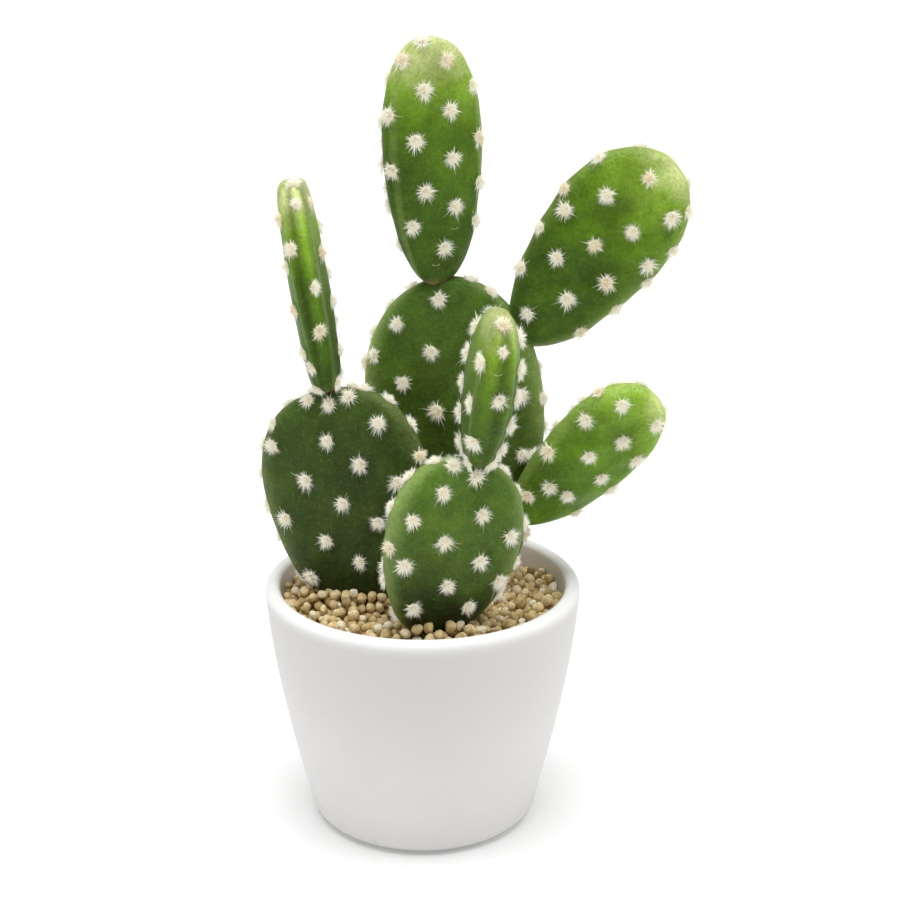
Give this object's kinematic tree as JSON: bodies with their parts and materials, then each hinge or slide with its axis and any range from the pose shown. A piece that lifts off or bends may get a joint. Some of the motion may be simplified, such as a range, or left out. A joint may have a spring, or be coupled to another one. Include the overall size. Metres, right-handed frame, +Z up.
{
  "type": "potted paddle cactus",
  "caption": "Paddle cactus with flat oval pads and white bristle tufts, growing from fine tan gravel in a round matte white ceramic pot.",
  "frame": {"origin": "middle of the pot's flat underside, on the surface it stands on", "axes": "+Z up through the pot; -Y the front, which the broad faces of the large pads look along; +X to the right seen from the front"},
  "size_m": [0.1319, 0.1, 0.2491],
  "materials": {
    "ceramic": "matte",
    "soil": "matte",
    "gravel": "matte",
    "old_pad": "satin",
    "young_pad": "satin"
  },
  "bodies": {
    "root": {"pot": "ceramic", "potting_soil": "soil", "gravel": "gravel", "pad_back": "old_pad", "pad_left": "old_pad", "pad_front": "old_pad", "pad_top": "young_pad", "pad_left_upper": "young_pad", "pad_front_upper": "young_pad", "pad_right_upper": "young_pad", "pad_right_lower": "young_pad"}
  },
  "joints": []
}
